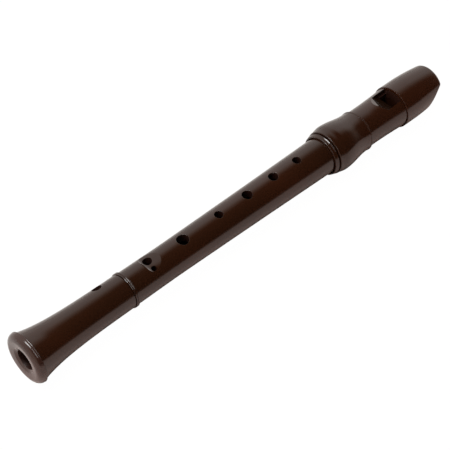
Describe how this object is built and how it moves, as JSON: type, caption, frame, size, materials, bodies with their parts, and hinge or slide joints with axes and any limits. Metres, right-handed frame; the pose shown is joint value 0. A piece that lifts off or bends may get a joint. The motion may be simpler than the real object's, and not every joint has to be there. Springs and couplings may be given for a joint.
{
  "type": "sopranino recorder",
  "caption": "Small three-joint recorder in dark brown plastic, with a beaked mouthpiece, window, bulged barrel, finger and thumb holes and a flared bell.",
  "frame": {"origin": "middle of the recorder's length, under the axis of the bore, on the surface that the bell ring rests on", "axes": "+X along the bore from the bell to the beak, +Z out through the finger holes, +Y to the player's right"},
  "size_m": [0.245, 0.0238, 0.0239],
  "materials": {
    "brown_plastic": "glossy moulded ABS, very dark brown",
    "block_plastic": "moulded ABS, very dark brown, slightly duller"
  },
  "bodies": {
    "body": {"body_tube": "brown_plastic"},
    "foot": {"foot_bell": "brown_plastic", "foot_ring": "brown_plastic", "bell_end_ring": "brown_plastic"},
    "head": {"head_tube": "brown_plastic", "head_barrel": "brown_plastic", "barrel_ring": "brown_plastic", "mouthpiece_cap": "brown_plastic", "windway_block": "block_plastic"}
  },
  "joints": [
    {"name": "foot_twist", "type": "hinge", "parent": "body", "child": "foot", "pos_m": [-0.0679, 0, 0.01194], "axis": [1, 0, 0], "range_deg": [-40, 40]},
    {"name": "head_pull", "type": "slide", "parent": "body", "child": "head", "axis": [1, 0, 0], "range_m": [0, 0.02]}
  ]
}
